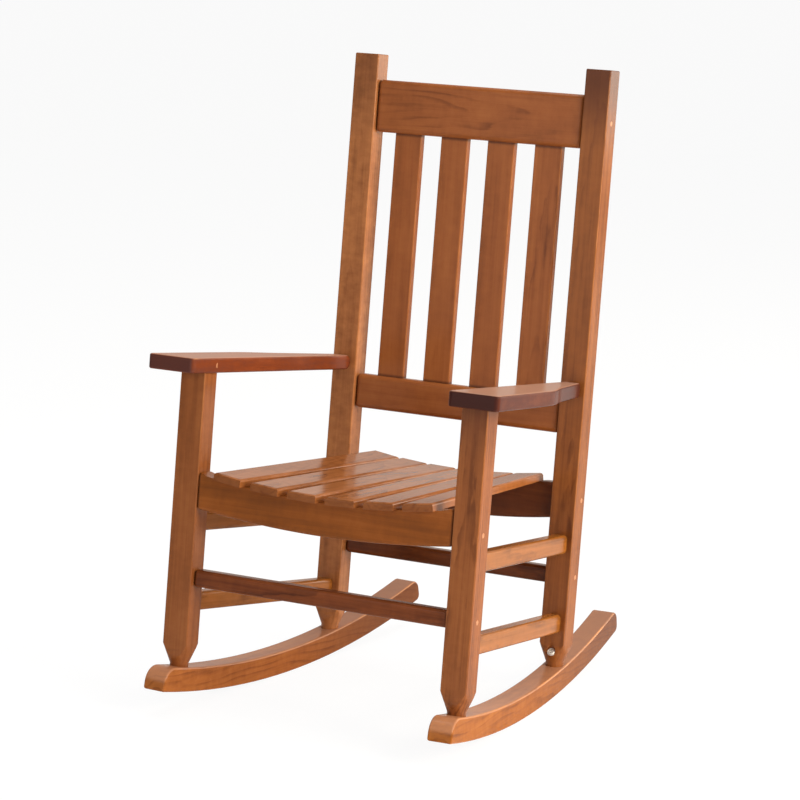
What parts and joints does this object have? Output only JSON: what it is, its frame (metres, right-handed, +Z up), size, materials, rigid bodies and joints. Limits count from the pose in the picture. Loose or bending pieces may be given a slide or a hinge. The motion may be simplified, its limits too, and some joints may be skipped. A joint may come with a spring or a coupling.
{
  "type": "slatted rocking chair",
  "caption": "Child-size wooden rocking chair with a slatted back, fanned seat slats, flat arms and curved rockers.",
  "frame": {"origin": "on the floor under the middle of the chair's box, at its balanced rest lean", "axes": "+Z up, +X to the right of someone facing the chair from its front, +Y towards the back, so the chair faces -Y"},
  "size_m": [0.454, 0.5746, 0.7625],
  "materials": {
    "stained_wood": "satin varnish over a red-brown stain, plain-sawn grain",
    "pin_wood": "end grain of pale pins, satin varnish",
    "screw_steel": "zinc-plated"
  },
  "bodies": {
    "root": {"arm_pins": "pin_wood", "armrest_left": "stained_wood", "armrest_right": "stained_wood", "back_slat_1": "stained_wood", "back_slat_2": "stained_wood", "back_slat_3": "stained_wood", "back_slat_4": "stained_wood", "crest_pins": "pin_wood", "crest_rail": "stained_wood", "front_leg_left": "stained_wood", "front_leg_right": "stained_wood", "front_stretcher": "stained_wood", "lower_back_rail": "stained_wood", "rear_post_left": "stained_wood", "rear_post_right": "stained_wood", "rear_stretcher": "stained_wood", "rocker_left": "stained_wood", "rocker_right": "stained_wood", "rocker_screws": "screw_steel", "seat_rail_front": "stained_wood", "seat_rail_pins": "pin_wood", "seat_rail_rear": "stained_wood", "seat_screws": "screw_steel", "seat_slat_1": "stained_wood", "seat_slat_2": "stained_wood", "seat_slat_3": "stained_wood", "seat_slat_4": "stained_wood", "seat_slat_5": "stained_wood", "seat_slat_6": "stained_wood", "side_stretcher_lower_left": "stained_wood", "side_stretcher_lower_right": "stained_wood", "side_stretcher_upper_left": "stained_wood", "side_stretcher_upper_right": "stained_wood", "stretcher_pins": "pin_wood"}
  },
  "joints": []
}
